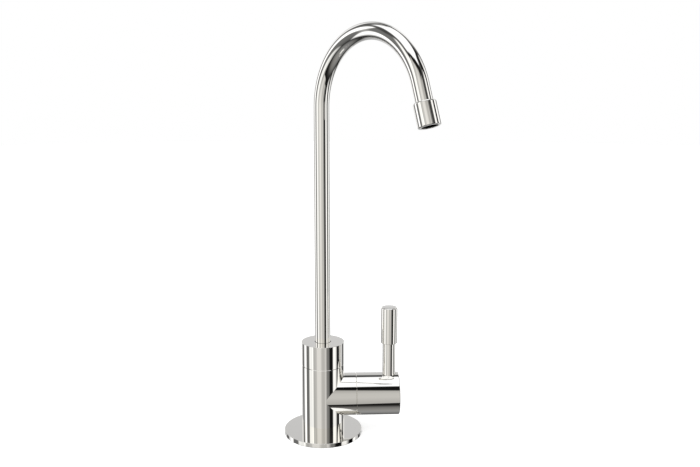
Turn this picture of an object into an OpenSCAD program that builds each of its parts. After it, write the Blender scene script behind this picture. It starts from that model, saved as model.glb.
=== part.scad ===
// Single-lever gooseneck faucet for filtered drinking water.
// Z is up and z = 0 is the top face of the deck it stands on.
// The side arm and the handle lie along +X, and the user stands on the -Y side.

/* [Base and body] */
// Diameter of the round base flange
flange_d = 48.4; // [46:0.1:56]
// Thickness of the base flange
flange_t = 2.7; // [2.5:0.1:4]
// Diameter of the upright body and of the spout hub on it
body_d = 26.4; // [26:0.1:29]
// Height of the joint line between the body and the spout hub
seam_z = 44.8; // [43:0.1:50]
// Height of the side arm's axis
arm_z = 24.8; // [24:0.1:27]
// Distance from the body's axis to the side arm's end face
arm_reach = 20.3; // [19.5:0.1:20.5]

/* [Spout] */
// Height of the turning hub that carries the spout
spout_hub_h = 14.4; // [14:0.1:24]
// Outside diameter of the spout tube, 3/8 inch
tube_d = 9.525; // [9:0.025:10.5]
// Wall of the spout tube
tube_wall = 1; // [0.7:0.1:1.4]
// Height at which the riser ends and the bend starts
riser_top_z = 202; // [120:1:260]
// Radius of the bend at the tube's centre line
bend_r = 41; // [30:0.5:60]
// Angle that the bend turns through
bend_angle = 161.8; // [140:0.1:180]
// Length from the end of the bend to the outlet
tip_len = 22.6; // [20:0.1:60]
// Outside diameter of the sleeve on the outlet
sleeve_d = 12.4; // [12.2:0.1:16]
// Length of the sleeve on the outlet
sleeve_len = 12.9; // [12.5:0.1:18]
// Diameter of the outlet's mouth
mouth_d = 8; // [6:0.1:8.5]
// Direction of the spout as it is parked, seen from above
spout_azimuth = -51.8; // [-180:0.1:180]

/* [Handle] */
// Distance from the body's axis to the handle hub's end face
handle_end_x = 47.2; // [46.5:0.1:60]
// Distance from the body's axis to the lever's axis
lever_x = 41; // [41:0.1:41.5]
// Diameter of the lever's stem
stem_d = 8.1; // [7.5:0.1:9]
// Height at which the lever's grip starts
grip_z = 57.7; // [52:0.1:90]
// Diameter of the lever's grip
grip_d = 10.2; // [9.5:0.1:12]
// Length of the lever's grip
grip_len = 22.9; // [16:0.1:50]

/* [Shank and deck fixing] */
// Outside diameter of the threaded shank, 7/16 inch
shank_d = 11.1; // [11:0.1:11.2]
// Pitch of the shank's thread, 24 to the inch
shank_pitch = 1.058; // [1:0.001:1.5]
// Length of the shank below the deck's top face
shank_len = 52; // [48:1:90]
// Thickness of the deck that the nut is set for
deck_t = 20; // [8:1:20]
// Outside diameter of the supply tube that the inlet takes, 1/4 inch
supply_d = 6.35; // [6:0.05:6.5]

/* [Cartridge] */
// Diameter of the two ceramic discs
disc_d = 14; // [13.6:0.1:14]
// Thickness of each ceramic disc
disc_t = 3; // [2.6:0.1:3]
// Width of each flow port in the discs
port_angle = 80; // [60:1:84]
// Diameter of the cartridge's stem
spindle_d = 8; // [7.8:0.1:8]
// Number of teeth on the stem's spline
spline_teeth = 20; // [12:1:24]

/* [Hidden] */
$fn = 96;

// Colours
nickel = [0.87, 0.85, 0.81];
brass = [0.80, 0.66, 0.38];
steel = [0.70, 0.71, 0.72];
rubber = [0.12, 0.12, 0.12];
nylon = [0.90, 0.89, 0.85];
ceramic = [0.96, 0.96, 0.95];

// Fits
seat_gap = 0.05;
run_gap = 0.05;
face_gap = 0.03;
over = 1;

// Base and body
flange_r = flange_d / 2;
body_r = body_d / 2;
arm_r = body_r - 0.1;
edge = 0.2;
flange_edge = 0.3;
spigot_r = 10;
spigot_z = 0.7;
gasket_in = 15;
gasket_out = 21.5;
gasket_t = 1.4;
seam_gap = 0.3;
seam_lo = seam_z - seam_gap / 2;
seam_hi = seam_z + seam_gap / 2;

// Waterways in the body
inlet_way_r = 3;
seat_way_r = 2.5;
neck_way_r = 4;
outlet_way_r = 2;
shank_top_z = 12.5;
shank_seal_t = 1.5;
seat_x = 5;
chamber_r = 9;
gallery_r = 10.6;
gallery_x = 11;

// Neck that the spout hub turns on
neck_r = 8;
neck_h = 10;
neck_top_z = seam_z + neck_h;
ring_groove_w = 1.8;
ring_groove_r = 6.5;
ring_groove_at = [2.7, 5.4];
ring_section_r = 0.72;
screw_groove_at = 8.2;
screw_groove_w = 1.8;
screw_groove_r = 6.8;

// Spout
tube_r = tube_d / 2;
tube_bore_r = tube_r - tube_wall;
tip_over = 0.01;
tip_taper = 0.04;
tip_lap = 1.5;
hub_top_z = seam_z + spout_hub_h;
hub_cavity_z = neck_top_z + 0.4;
tube_seat_z = hub_top_z - 3;
tube_socket_edge = 0.25;
sleeve_r = sleeve_d / 2;
sleeve_start = tip_len - sleeve_len;
sleeve_edge = 0.6;
mouth_r = mouth_d / 2;
mouth_lip = 2;
straightener_t = 4;
outlet_gasket_t = 1;
tube_end = tip_len - mouth_lip - straightener_t - outlet_gasket_t - seat_gap;
straightener_hole_r = 0.4;
straightener_rings = [[0, 1], [1.7, 6], [3.2, 12]];
hub_screw_r = 1.5;
hub_screw_tip_r = 0.75;
hub_screw_socket_r = 0.85;

// Cartridge, along the side arm's axis
disc_r = disc_d / 2;
seal_t = 1.4;
fixed_x = seat_x + seal_t + face_gap;
moving_x = fixed_x + disc_t + face_gap;
head_x = moving_x + disc_t + face_gap;
head_t = 2.4;
head_r = 4.9;
thrust_t = 0.2;
shoulder_x = head_x + head_t + thrust_t + 2 * face_gap;
collar_x = gallery_x + 4.2;
collar_t = 1.8;
neck_start_x = collar_x + collar_t;
cartridge_end_x = arm_reach + 5.1;
cartridge_r = 8.8;
cartridge_collar_r = 10.4;
cartridge_neck_r = 7;
disc_pocket_r = disc_r + 0.15;
spindle_r = spindle_d / 2;
window_r = 1.7;
port_in = 1.6;
port_out = 5.6;
lug_w = 2.4;
lug_in = 2.6;
lug_out = 4.6;
lug_depth = 1;
lug_gap = 0.1;
spindle_ring_at = [18.6, 21.6];
spindle_groove_w = 1.4;
spindle_groove_r = spindle_r - 1.1;
spindle_ring_section_r = 0.54;
clip_x = cartridge_end_x + 0.25;
clip_t = 0.6;
clip_r = 5.6;
clip_groove_r = spindle_r - 0.8;
spline_x = cartridge_end_x + 1.5;
spline_end_x = spline_x + 9.7;
spline_depth = 0.45;
gland_hex = 18.8;
gland_hex_t = 3.8;
gland_r = gallery_r - seat_gap;

// Handle
hub_x = arm_reach + seam_gap;
hub_wall_r = 11.3;
hub_boss_x = spline_x + 0.3;
hub_edge = 0.5;
stem_r = stem_d / 2;
grip_r = grip_d / 2;
grip_top_z = grip_z + grip_len;
grip_edge = 0.5;
lever_thread_r = 3;
lever_thread_pitch = 1;
lever_hole_z = arm_z + 2.6;
lever_foot_z = arm_z + 3;
stem_foot_z = arm_z + 10.4;
grip_thread_len = 10;
handle_screw_x = 31.5;
handle_screw_r = 2;
handle_screw_socket_r = 1.16;

// Deck fixing and inlet, below the deck
shank_r = shank_d / 2;
shank_hole_r = 2.6;
supply_r = supply_d / 2 + 0.075;
supply_depth = 12;
thread_start_z = -2;
seat_cone_h = 2.4;
seat_cone_r = 4.7;
deck_washer_r = 16;
deck_washer_t = 3;
clamp_washer_r = 15;
clamp_washer_t = 1.6;
lock_washer_r = 9;
lock_washer_t = 2.2;
mounting_hex = 19;
mounting_nut_t = 8;
washer_hole_r = shank_r + 0.4;
nut_hole_r = shank_r + seat_gap;
inlet_hex = 14.3;
inlet_nut_top_z = -shank_len + 8;
inlet_nut_low_z = -shank_len - 8;
ferrule_r = 4.55;

// Solid turned about the upright axis from [radius, height] points
module turned(outline) {
    rotate_extrude() polygon(outline);
}

// Solid turned about the side arm's axis from [radius, distance along X] points
module turned_x(outline) {
    translate([0, 0, arm_z]) rotate([0, 90, 0]) rotate_extrude() polygon(outline);
}

// Straight hole or pin along Z
module z_bore(r, low, high) {
    translate([0, 0, low]) cylinder(r = r, h = high - low);
}

// Straight hole or pin along the side arm's axis
module x_bore(r, low, high) {
    translate([low, 0, arm_z]) rotate([0, 90, 0]) cylinder(r = r, h = high - low);
}

// Plain ring about Z
module z_ring(inner, outer, low, high) {
    turned([[inner, low], [outer, low], [outer, high], [inner, high]]);
}

// Plain ring about the side arm's axis
module x_ring(inner, outer, low, high) {
    turned_x([[inner, low], [outer, low], [outer, high], [inner, high]]);
}

// Hexagonal bar along Z with its corners chamfered at both ends
module hex_bar(flats, low, high) {
    tip_r = flats / 2 / cos(30);
    cut = tip_r - flats / 2;
    intersection() {
        translate([0, 0, low]) cylinder(r = tip_r, h = high - low, $fn = 6);
        turned([
            [0, low], [flats / 2, low], [tip_r + 0.01, low + cut],
            [tip_r + 0.01, high - cut], [flats / 2, high], [0, high]
        ]);
    }
}

// Crest and root points of a ring-grooved thread, rising from low to high
function thread_points(crest, pitch, low, high) =
    let (turns = floor((high - low) / pitch), depth = 0.6 * pitch)
    [
        for (i = [0 : turns - 1])
            for (p = [
                [crest, 0], [crest, 0.12], [crest - depth, 0.44],
                [crest - depth, 0.56], [crest, 0.88]
            ])
                [p[0], low + (i + p[1]) * pitch]
    ];

// Outline of the spline on the cartridge stem, grown by gap
module spline_outline(gap) {
    outer = spindle_r + gap - 0.05;
    inner = outer - spline_depth;
    step = 360 / spline_teeth;
    polygon([
        for (i = [0 : spline_teeth - 1])
            for (p = [[inner, -0.32], [outer, -0.14], [outer, 0.14], [inner, 0.32]])
                p[0] * [cos((i + p[1]) * step), sin((i + p[1]) * step)]
    ]);
}

// Two opposite flow ports through a disc, turned about the arm's axis
module port_pair(low, high, turn) {
    translate([low, 0, arm_z]) rotate([0, 90, 0])
        for (side = [0, 180])
            rotate([0, 0, turn + side - port_angle / 2])
                rotate_extrude(angle = port_angle)
                    translate([port_in, 0]) square([port_out - port_in, high - low]);
}

// Two driving lugs on the stem's head, grown by gap
module lug_pair(gap) {
    for (side = [-1, 1])
        translate([
            head_x - lug_depth - gap,
            -lug_w / 2 - gap,
            arm_z + (side > 0 ? lug_in : -lug_out) - gap
        ])
            cube([
                lug_depth + gap + over,
                lug_w + 2 * gap,
                lug_out - lug_in + 2 * gap
            ]);
}

// Places a piece at the bend's centre in the spout's own plane, the bend turning about +Z
module in_bend() {
    translate([bend_r, 0, riser_top_z]) mirror([1, 0, 0]) rotate([90, 0, 0]) children();
}

// Places a piece at the bend's end, inside in_bend, with +Z along the flow
module past_bend() {
    rotate([0, 0, bend_angle]) translate([bend_r, 0, 0]) rotate([-90, 0, 0]) children();
}

// Places a piece at the end of the parked spout's bend, with +Z along the flow
module at_bend_end() {
    rotate([0, 0, spout_azimuth]) in_bend() past_bend() children();
}

// Places a piece on the back of the spout hub, with +Z pointing out of it
module at_hub_back() {
    rotate([0, 0, spout_azimuth + 180])
        translate([0, 0, seam_z + screw_groove_at])
            rotate([0, 90, 0]) children();
}

// Flat round plate between the body and the deck
module base_flange() {
    color(nickel) difference() {
        turned([
            [spigot_r + seat_gap, 0],
            [flange_r - edge, 0],
            [flange_r, edge],
            [flange_r, flange_t - flange_edge],
            [flange_r - flange_edge, flange_t],
            [spigot_r + seat_gap, flange_t]
        ]);
        z_ring(gasket_in, gasket_out, -over, gasket_t);
    }
}

// Rubber ring pressed into the groove under the flange
module base_gasket() {
    color(rubber) z_ring(gasket_in + seat_gap, gasket_out - seat_gap, 0, gasket_t - seat_gap);
}

// Brass casting: upright body, side arm and the neck that the spout turns on
module valve_body() {
    color(nickel) difference() {
        union() {
            turned([
                [0, spigot_z],
                [spigot_r, spigot_z],
                [spigot_r, flange_t],
                [body_r, flange_t],
                [body_r, seam_lo - edge],
                [body_r - edge, seam_lo],
                [neck_r, seam_lo],
                [neck_r, neck_top_z],
                [0, neck_top_z]
            ]);
            turned_x([
                [0, 0], [arm_r, 0], [arm_r, arm_reach - edge], [arm_r - edge, arm_reach], [0, arm_reach]
            ]);
        }
        // socket for the shank, and the way up to the arm's axis
        z_bore(shank_r + seat_gap, -over, shank_top_z + shank_seal_t);
        z_bore(inlet_way_r, shank_top_z, arm_z + inlet_way_r);
        // way along the arm to the cartridge's seat, then the cartridge's chamber
        x_bore(seat_way_r, 0, seat_x + over);
        x_bore(chamber_r, seat_x, gallery_x + over);
        x_bore(gallery_r, gallery_x, arm_reach + over);
        // slanted way from the gallery round the cartridge to the neck
        translate([gallery_x + 2, 0, arm_z + 8.7])
            rotate([0, -atan2(gallery_x + 2, seam_z + 0.7 - arm_z - 8.7), 0])
                cylinder(r = outlet_way_r, h = norm([gallery_x + 2, seam_z + 0.7 - arm_z - 8.7]));
        z_bore(neck_way_r, seam_z - 3.8, neck_top_z + over);
        // grooves round the neck
        for (at = ring_groove_at)
            z_ring(
                ring_groove_r, neck_r + over,
                seam_z + at - ring_groove_w / 2, seam_z + at + ring_groove_w / 2
            );
        z_ring(
            screw_groove_r, neck_r + over,
            seam_z + screw_groove_at - screw_groove_w / 2,
            seam_z + screw_groove_at + screw_groove_w / 2
        );
    }
}

// Threaded tube that goes through the deck and brings the water in
module threaded_shank() {
    color(brass) turned(concat(
        [
            [seat_cone_r, -shank_len],
            [shank_r - 0.6, -shank_len],
            [shank_r - 0.6, -shank_len + 0.6]
        ],
        thread_points(shank_r, shank_pitch, -shank_len + 0.6, thread_start_z),
        [
            [shank_r, thread_start_z],
            [shank_r, shank_top_z],
            [shank_hole_r, shank_top_z],
            [shank_hole_r, -shank_len + supply_depth],
            [supply_r, -shank_len + supply_depth],
            [supply_r, -shank_len + seat_cone_h]
        ]
    ));
}

// Rubber washer between the shank's end and the body
module shank_seal() {
    color(rubber) z_ring(
        inlet_way_r + 0.6, shank_r - 0.1,
        shank_top_z + face_gap, shank_top_z + shank_seal_t - face_gap
    );
}

// Rubber washer under the deck
module deck_washer() {
    color(rubber) z_ring(washer_hole_r, deck_washer_r, -deck_t - deck_washer_t, -deck_t);
}

// Steel washer that spreads the nut's pull
module clamp_washer() {
    top = -deck_t - deck_washer_t;
    color(steel) z_ring(washer_hole_r, clamp_washer_r, top - clamp_washer_t, top);
}

// Split spring washer under the nut
module lock_washer() {
    top = -deck_t - deck_washer_t - clamp_washer_t;
    color(steel) difference() {
        z_ring(shank_r + 0.2, lock_washer_r, top - lock_washer_t, top);
        translate([0, 0, top - lock_washer_t / 2]) rotate([25, 0, 0])
            translate([0, -0.5, -lock_washer_t * 2])
                cube([lock_washer_r + over, 1, lock_washer_t * 4]);
    }
}

// Hexagonal nut that clamps the faucet to the deck
module mounting_nut() {
    top = -deck_t - deck_washer_t - clamp_washer_t - lock_washer_t;
    color(brass) difference() {
        hex_bar(mounting_hex, top - mounting_nut_t, top);
        z_bore(nut_hole_r, top - mounting_nut_t - over, top + over);
    }
}

// Sleeve that grips the supply tube
module inlet_ferrule() {
    color(nylon) turned([
        [supply_r, -shank_len - 4.4],
        [supply_r + 0.3, -shank_len - 4.4],
        [ferrule_r, -shank_len - 3.2],
        [ferrule_r, -shank_len - 0.1],
        [supply_r + 0.5, -shank_len + 1.4],
        [supply_r, -shank_len + 1.4]
    ]);
}

// Compression nut on the shank's lower end
module inlet_nut() {
    color(brass) difference() {
        hex_bar(inlet_hex, inlet_nut_low_z, inlet_nut_top_z);
        turned([
            [0, inlet_nut_low_z - over],
            [supply_r, inlet_nut_low_z - over],
            [supply_r, -shank_len - 4.8],
            [seat_cone_r, -shank_len - 3.2],
            [nut_hole_r, -shank_len - 3.2],
            [nut_hole_r, inlet_nut_top_z + over],
            [0, inlet_nut_top_z + over]
        ]);
    }
}

// Rubber seal between the body and the fixed disc
module seat_seal() {
    color(rubber) x_ring(seat_way_r + 0.6, disc_r - 0.4, seat_x + face_gap, fixed_x - face_gap);
}

// Ceramic disc that stays still
module fixed_disc() {
    color(ceramic) difference() {
        x_bore(disc_r, fixed_x, fixed_x + disc_t);
        port_pair(fixed_x - over, fixed_x + disc_t + over, 0);
    }
}

// Brass shell of the cartridge
module cartridge_body() {
    color(brass) difference() {
        turned_x([
            [disc_pocket_r, seat_x + 0.1],
            [cartridge_r, seat_x + 0.1],
            [cartridge_r, collar_x],
            [cartridge_collar_r, collar_x],
            [cartridge_collar_r, neck_start_x],
            [cartridge_neck_r, neck_start_x],
            [cartridge_neck_r, cartridge_end_x],
            [spindle_r + run_gap, cartridge_end_x],
            [spindle_r + run_gap, shoulder_x],
            [disc_pocket_r, shoulder_x]
        ]);
        // windows that let the water out into the gallery
        for (turn = [45 : 90 : 315])
            translate([head_x + 0.8, 0, arm_z]) rotate([turn, 0, 0])
                translate([0, 0, disc_pocket_r - over]) cylinder(r = window_r, h = 4);
    }
}

// Thin washer that takes the stem's push
module thrust_washer() {
    color(nylon) x_ring(
        spindle_r + 0.1, disc_pocket_r - 0.2,
        shoulder_x - thrust_t, shoulder_x - 0.01
    );
}

// Nut that holds the cartridge in the arm
module gland_nut() {
    color(brass) difference() {
        union() {
            x_bore(gland_r, neck_start_x + face_gap, arm_reach);
            translate([0, 0, arm_z]) rotate([0, 90, 0])
                hex_bar(gland_hex, arm_reach, arm_reach + gland_hex_t);
        }
        x_bore(cartridge_neck_r + seat_gap, neck_start_x - over, arm_reach + gland_hex_t + over);
    }
}

// Slip ring in the joint between the arm and the handle hub
module handle_glide_ring() {
    color(nylon) x_ring(gallery_r + 0.5, arm_r - 0.7, arm_reach, arm_reach + seam_gap - 0.1);
}

// Ceramic disc that turns with the handle
module moving_disc() {
    color(ceramic) difference() {
        x_bore(disc_r, moving_x, moving_x + disc_t);
        port_pair(moving_x - over, moving_x + disc_t + over, 90);
        lug_pair(lug_gap);
    }
}

// Brass spindle that the handle turns
module cartridge_stem() {
    color(brass) {
        difference() {
            union() {
                x_bore(head_r, head_x, head_x + head_t);
                x_bore(spindle_r, head_x + head_t / 2, spline_x);
                intersection() {
                    lug_pair(0);
                    x_bore(head_r, head_x - lug_depth - over, head_x + head_t / 2);
                }
                translate([spline_x - 0.2, 0, arm_z]) rotate([0, 90, 0])
                    linear_extrude(spline_end_x - spline_x + 0.2) spline_outline(0);
            }
            for (at = spindle_ring_at)
                x_ring(
                    spindle_groove_r, spindle_r + over,
                    at - spindle_groove_w / 2, at + spindle_groove_w / 2
                );
            x_ring(clip_groove_r, spindle_r + over, clip_x - 0.05, clip_x + clip_t + 0.05);
        }
    }
}

// Rubber rings that seal the spindle
module stem_o_rings() {
    color(rubber)
        for (at = spindle_ring_at)
            translate([at, 0, arm_z]) rotate([0, 90, 0])
                rotate_extrude()
                    translate([spindle_r - spindle_ring_section_r, 0]) circle(spindle_ring_section_r);
}

// Spring clip that keeps the spindle in the cartridge
module stem_clip() {
    color(steel) difference() {
        x_ring(clip_groove_r + 0.05, clip_r, clip_x, clip_x + clip_t);
        translate([clip_x - over, -2.4, arm_z - clip_r - over]) cube([clip_t + 2 * over, 4.8, clip_r + over]);
    }
}

// Round hub that the lever stands on
module handle_hub() {
    color(nickel) difference() {
        turned_x([
            [0, hub_boss_x],
            [hub_wall_r, hub_boss_x],
            [hub_wall_r, hub_x],
            [arm_r - edge, hub_x],
            [arm_r, hub_x + edge],
            [arm_r, handle_end_x - hub_edge],
            [arm_r - hub_edge, handle_end_x],
            [0, handle_end_x]
        ]);
        // splined socket
        translate([hub_boss_x - over, 0, arm_z]) rotate([0, 90, 0])
            linear_extrude(spline_end_x - hub_boss_x + over + 0.4) spline_outline(0.04);
        // stepped hole for the lever
        translate([lever_x, 0, lever_hole_z]) cylinder(r = lever_thread_r + seat_gap, h = body_r);
        translate([lever_x, 0, stem_foot_z - seat_gap]) cylinder(r = stem_r + seat_gap, h = body_r);
        // hole for the set screw, from below
        translate([handle_screw_x, 0, arm_z - body_r - over])
            cylinder(r = handle_screw_r + seat_gap, h = body_r + over - spindle_r + 0.6);
    }
}

// Socket set screw that locks the hub on the spline
module handle_set_screw() {
    low = arm_z - arm_r + 0.6;
    color(steel) translate([handle_screw_x, 0, 0]) difference() {
        z_bore(handle_screw_r, low, arm_z - spindle_r - 0.02);
        translate([0, 0, low - over]) cylinder(r = handle_screw_socket_r, h = over + 2, $fn = 6);
    }
}

// Slim lower part of the lever, screwed into the hub and into the grip
module lever_stem() {
    color(nickel) translate([lever_x, 0, 0]) turned(concat(
        [[0, lever_foot_z], [lever_thread_r - 0.6, lever_foot_z]],
        thread_points(lever_thread_r, lever_thread_pitch, lever_foot_z, stem_foot_z),
        [
            [lever_thread_r, stem_foot_z],
            [stem_r, stem_foot_z],
            [stem_r, grip_z - 0.3],
            [stem_r - 0.3, grip_z],
            [lever_thread_r, grip_z]
        ],
        thread_points(lever_thread_r, lever_thread_pitch, grip_z, grip_z + grip_thread_len),
        [[lever_thread_r - 0.6, grip_z + grip_thread_len], [0, grip_z + grip_thread_len]]
    ));
}

// Thicker upper part of the lever
module lever_grip() {
    low = grip_z + face_gap;
    color(nickel) translate([lever_x, 0, 0]) turned([
        [lever_thread_r + seat_gap, low],
        [grip_r - 0.3, low],
        [grip_r, low + 0.3],
        [grip_r, grip_top_z - grip_edge],
        [grip_r - grip_edge, grip_top_z],
        [0, grip_top_z],
        [0, grip_z + grip_thread_len + 0.6],
        [lever_thread_r + seat_gap, grip_z + grip_thread_len + 0.6]
    ]);
}

// Slip washer in the joint between the body and the spout hub
module swivel_washer() {
    color(nylon) z_ring(neck_r + 0.1, body_r - 0.8, seam_lo, seam_hi - 0.1);
}

// Rubber rings that seal the neck
module neck_o_rings() {
    color(rubber)
        for (at = ring_groove_at)
            translate([0, 0, seam_z + at])
                rotate_extrude() translate([neck_r - ring_section_r, 0]) circle(ring_section_r);
}

// Turning hub that carries the spout
module spout_hub() {
    color(nickel) difference() {
        turned([
            [neck_r + run_gap, seam_hi],
            [body_r - edge, seam_hi],
            [body_r, seam_hi + edge],
            [body_r, hub_top_z - edge],
            [body_r - edge, hub_top_z],
            [tube_r + seat_gap + tube_socket_edge, hub_top_z],
            [tube_r + seat_gap, hub_top_z - tube_socket_edge],
            [tube_r + seat_gap, tube_seat_z],
            [tube_bore_r, tube_seat_z],
            [tube_bore_r, hub_cavity_z],
            [neck_r + run_gap, hub_cavity_z]
        ]);
        at_hub_back() translate([0, 0, neck_r - over]) cylinder(r = hub_screw_r + seat_gap, h = body_r);
    }
}

// Socket set screw whose tip runs in the neck's upper groove
module spout_set_screw() {
    color(steel) at_hub_back() difference() {
        turned([
            [0, screw_groove_r + 0.3],
            [hub_screw_tip_r, screw_groove_r + 0.3],
            [hub_screw_tip_r, neck_r + 0.2],
            [hub_screw_r, neck_r + 0.8],
            [hub_screw_r, body_r - 0.6],
            [0, body_r - 0.6]
        ]);
        translate([0, 0, body_r - 2.4]) cylinder(r = hub_screw_socket_r, h = over + 2, $fn = 6);
    }
}

// Round bar bent as the gooseneck is: riser, bend and tip, the tip a hair thicker
module gooseneck(r, low, tip) {
    z_bore(r, low, riser_top_z);
    in_bend() {
        rotate_extrude(angle = bend_angle) translate([bend_r, 0]) circle(r);
        past_bend() turned([
            [0, -tip_lap],
            [r - tip_taper, -tip_lap],
            [r + tip_over, 0],
            [r + tip_over, tip],
            [0, tip]
        ]);
    }
}

// Gooseneck tube of the spout
module spout_tube() {
    color(nickel) rotate([0, 0, spout_azimuth]) difference() {
        gooseneck(tube_r, tube_seat_z + face_gap, tube_end);
        gooseneck(tube_bore_r, tube_seat_z - over, tube_end + over);
    }
}

// Sleeve round the end of the tube
module outlet_sleeve() {
    color(nickel) at_bend_end() turned([
        [tube_r + seat_gap, sleeve_start],
        [sleeve_r - sleeve_edge, sleeve_start],
        [sleeve_r, sleeve_start + sleeve_edge],
        [sleeve_r, tip_len - sleeve_edge],
        [sleeve_r - sleeve_edge, tip_len],
        [mouth_r, tip_len],
        [mouth_r, tip_len - mouth_lip],
        [tube_r + seat_gap, tip_len - mouth_lip]
    ]);
}

// Rubber ring between the tube's end and the flow straightener
module outlet_gasket() {
    color(rubber) at_bend_end()
        z_ring(tube_bore_r, tube_r - 0.05, tube_end + face_gap, tube_end + outlet_gasket_t);
}

// Drilled black rubber disc that calms the stream
module flow_straightener() {
    high = tip_len - mouth_lip - 0.02;
    low = high - straightener_t;
    color(rubber) at_bend_end() difference() {
        z_bore(tube_r - 0.05, low, high);
        for (ring = straightener_rings)
            for (i = [0 : ring[1] - 1])
                rotate([0, 0, 360 * i / ring[1]])
                    translate([ring[0], 0, low - over])
                        cylinder(r = straightener_hole_r, h = straightener_t + 2 * over, $fn = 24);
    }
}

base_flange();
base_gasket();
valve_body();
threaded_shank();
shank_seal();
deck_washer();
clamp_washer();
lock_washer();
mounting_nut();
inlet_ferrule();
inlet_nut();
seat_seal();
fixed_disc();
cartridge_body();
thrust_washer();
gland_nut();
handle_glide_ring();
moving_disc();
cartridge_stem();
stem_o_rings();
stem_clip();
handle_hub();
handle_set_screw();
lever_stem();
lever_grip();
swivel_washer();
neck_o_rings();
spout_hub();
spout_set_screw();
spout_tube();
outlet_sleeve();
outlet_gasket();
flow_straightener();
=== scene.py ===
"""Looks of a single-lever gooseneck faucet for filtered drinking water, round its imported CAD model.

Everything is in the CAD model's own frame: z = 0 is the top of the deck, the side arm and the handle
lie along +X, and the user stands on the -Y side. The sub-assemblies' sizes are in millimetres.
"""

import logging
import math
from dataclasses import dataclass
from enum import Enum
from typing import ClassVar, Iterable, Optional, Sequence

import bmesh
import bpy
from mathutils import Matrix, Vector


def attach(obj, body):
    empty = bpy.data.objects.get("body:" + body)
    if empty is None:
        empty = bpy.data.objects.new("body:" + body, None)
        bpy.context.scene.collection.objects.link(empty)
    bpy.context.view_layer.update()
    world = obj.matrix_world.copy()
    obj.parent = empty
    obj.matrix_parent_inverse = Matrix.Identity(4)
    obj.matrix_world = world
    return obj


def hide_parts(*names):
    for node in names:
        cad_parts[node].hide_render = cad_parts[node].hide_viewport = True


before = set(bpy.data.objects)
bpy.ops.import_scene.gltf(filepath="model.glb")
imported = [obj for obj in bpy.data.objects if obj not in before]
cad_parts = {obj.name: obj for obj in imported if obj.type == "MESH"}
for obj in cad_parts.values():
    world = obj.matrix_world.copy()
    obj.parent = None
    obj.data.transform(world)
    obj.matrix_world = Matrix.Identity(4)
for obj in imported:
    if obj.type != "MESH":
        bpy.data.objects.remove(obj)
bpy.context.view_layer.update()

Shape = bmesh.types.BMesh
Socket = bpy.types.NodeSocket

MM = 0.001
ROUND_STEPS = 192
FLANGE_STEPS = 256
SLIM_STEPS = 128
BORE_STEPS = 96
SCREW_HOLE_STEPS = 64
CORNER_STEPS = 4
SHARP_ANGLE = math.radians(30.0)
MERGE_DISTANCE = 1e-7
UP = Vector((0, 0, 1))
ALONG_ARM = Vector((1, 0, 0))
log = logging.getLogger("faucet")


class Body(Enum):
    """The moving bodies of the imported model."""

    BASE = "base"
    HANDLE = "handle"
    SPOUT = "spout"


class Slot(Enum):
    """The record's material slots."""

    NICKEL = "polished_nickel"
    BRASS = "turned_brass"
    STEEL = "stainless"
    RUBBER = "black_rubber"
    NYLON = "white_nylon"
    CERAMIC = "ceramic"


class Along(Enum):
    """The axis that a piece was turned about."""

    X = "X"
    Z = "Z"


class Join(Enum):
    """What is done with two closed shapes."""

    ADD = "UNION"
    CUT = "DIFFERENCE"


class Op(Enum):
    """The sums that the node trees use."""

    ADD = "ADD"
    SUBTRACT = "SUBTRACT"
    MULTIPLY = "MULTIPLY"
    MULTIPLY_ADD = "MULTIPLY_ADD"
    DIVIDE = "DIVIDE"
    GREATER = "GREATER_THAN"
    LARGEST = "MAXIMUM"
    ARCSINE = "ARCSINE"
    ARCTAN2 = "ARCTAN2"


# Shaping


def at(x: float = 0.0, z: float = 0.0) -> Vector:
    """Gives a place in the plane of body and arm, from millimetres."""
    return Vector((x * MM, 0.0, z * MM))


def laid_along_x(height: float) -> Matrix:
    """Gives the move that lays a turned piece from Z along X, at a height in millimetres."""
    return Matrix.Translation((0, 0, height * MM)) @ Matrix.Rotation(math.pi / 2, 4, "Y")


def turned(*corners: Sequence[float], steps: int = ROUND_STEPS) -> Shape:
    """Turns a half section about Z.

    Args:
        corners: (radius, height) or (radius, height, rounding) in millimetres, in order. A section that
            starts on the axis ends there too. Any other is a closed loop, such as a ring's wall.
        steps: how many facets go round.

    Returns:
        A closed shape with its faces outwards.
    """
    shape = bmesh.new()
    points = [shape.verts.new((radius * MM, 0.0, height * MM)) for radius, height, *_ in corners]
    pairs = list(zip(points, points[1:]))
    if corners[0][0] > 0:
        pairs.append((points[-1], points[0]))
    for pair in pairs:
        shape.edges.new(pair)
    for point, (_, _, *rounding) in zip(points, corners):
        if rounding:
            bmesh.ops.bevel(
                shape, geom=[point], offset=rounding[0] * MM, offset_type="OFFSET", segments=CORNER_STEPS,
                profile=0.5, affect="VERTICES", material=-1, clamp_overlap=False,
            )
    bmesh.ops.spin(
        shape, geom=shape.verts[:] + shape.edges[:], cent=(0, 0, 0), axis=(0, 0, 1), dvec=(0, 0, 0),
        angle=math.tau, steps=steps, use_merge=True, use_duplicate=False,
    )
    return finished(shape)


def finished(shape: Shape) -> Shape:
    """Merges doubles, turns the faces outwards, and marks what is smooth and what is a sharp edge.

    Args:
        shape: a closed shape.

    Returns:
        The same shape.
    """
    bmesh.ops.remove_doubles(shape, verts=shape.verts, dist=MERGE_DISTANCE)
    bmesh.ops.dissolve_degenerate(shape, edges=shape.edges, dist=MERGE_DISTANCE)
    bmesh.ops.recalc_face_normals(shape, faces=shape.faces)
    mark_sharp(shape)
    return shape


def mark_sharp(shape: Shape) -> None:
    """Makes every face smooth and every edge over SHARP_ANGLE sharp.

    Args:
        shape: the shape.
    """
    for face in shape.faces:
        face.smooth = True
    for edge in shape.edges:
        edge.smooth = len(edge.link_faces) == 2 and edge.calc_face_angle(0.0) < SHARP_ANGLE


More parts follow.
